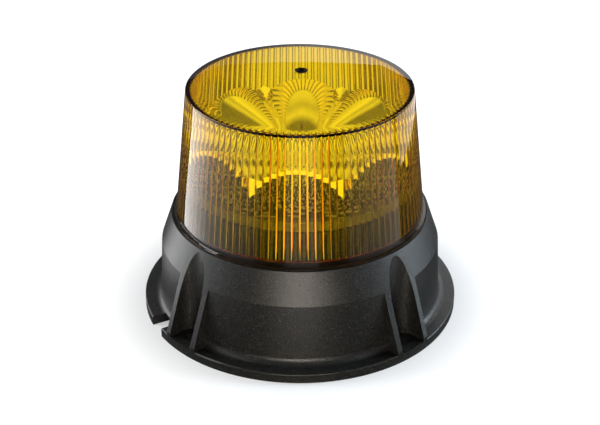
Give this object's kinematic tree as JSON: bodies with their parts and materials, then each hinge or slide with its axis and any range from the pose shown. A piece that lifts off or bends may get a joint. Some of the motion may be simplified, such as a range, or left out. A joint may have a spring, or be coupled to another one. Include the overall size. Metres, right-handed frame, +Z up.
{
  "type": "warning beacon",
  "caption": "Amber warning beacon: tapered ribbed dome over a ring of mirrored half-bowl reflectors, on a black cast base with bolt pockets.",
  "frame": {"origin": "centre of the base's flat underside", "axes": "+Z up along the dome's axis; -Y is the front, midway between two bolt pockets; the wire exit slot is at the left rear of the front, 29 degrees past -X towards -Y"},
  "size_m": [0.168, 0.168, 0.1219],
  "materials": {
    "cast_black": "fine textured black powder coat on a die-cast housing",
    "cover_plate": "black coated aluminium plate",
    "black_rubber": "matt black rubber",
    "screw_steel": "zinc plated steel",
    "black_plastic": "black moulded plastic",
    "mirror_coat": "vacuum metallised moulding, mirror bright",
    "sink_aluminium": "black anodised aluminium",
    "pad_grey": "grey gap pad",
    "board_mask": "white solder mask",
    "led_body": "emitter package with phosphor",
    "clear_lens": "clear silicone lens",
    "board_green": "green solder mask",
    "brass_standoff": "turned brass",
    "capacitor_sleeve": "dark sleeve",
    "ferrite": "grey-black ferrite",
    "terminal_plastic": "ivory connector plastic",
    "lead_insulation": "red lead insulation",
    "amber_lens": "clear amber polycarbonate, polished outside"
  },
  "bodies": {
    "base": {"base_housing": "cast_black", "bottom_cover": "cover_plate", "bottom_cover_gasket": "black_rubber", "bottom_cover_screws": "screw_steel", "cable_grommet": "black_rubber", "breather_vent": "black_plastic", "reflector": "mirror_coat", "heat_sink": "sink_aluminium", "heat_sink_screws": "screw_steel", "thermal_pad": "pad_grey", "led_board": "board_mask", "led_board_screws": "screw_steel", "reflector_screws": "screw_steel", "led_packages": "led_body", "led_lenses": "clear_lens", "driver_board": "board_green", "driver_standoffs": "brass_standoff", "driver_screws": "screw_steel", "filter_capacitors": "capacitor_sleeve", "power_inductor": "ferrite", "power_transistors": "black_plastic", "flash_controller": "black_plastic", "supply_terminal": "terminal_plastic", "led_socket": "terminal_plastic", "led_leads": "lead_insulation", "dome_seal": "black_rubber"},
    "dome": {"dome_lens": "amber_lens"}
  },
  "joints": [
    {"name": "dome_twist", "type": "hinge", "parent": "base", "child": "dome", "pos_m": [0, 0, 0.05], "axis": [0, 0, 1], "range_deg": [0, 30]}
  ]
}
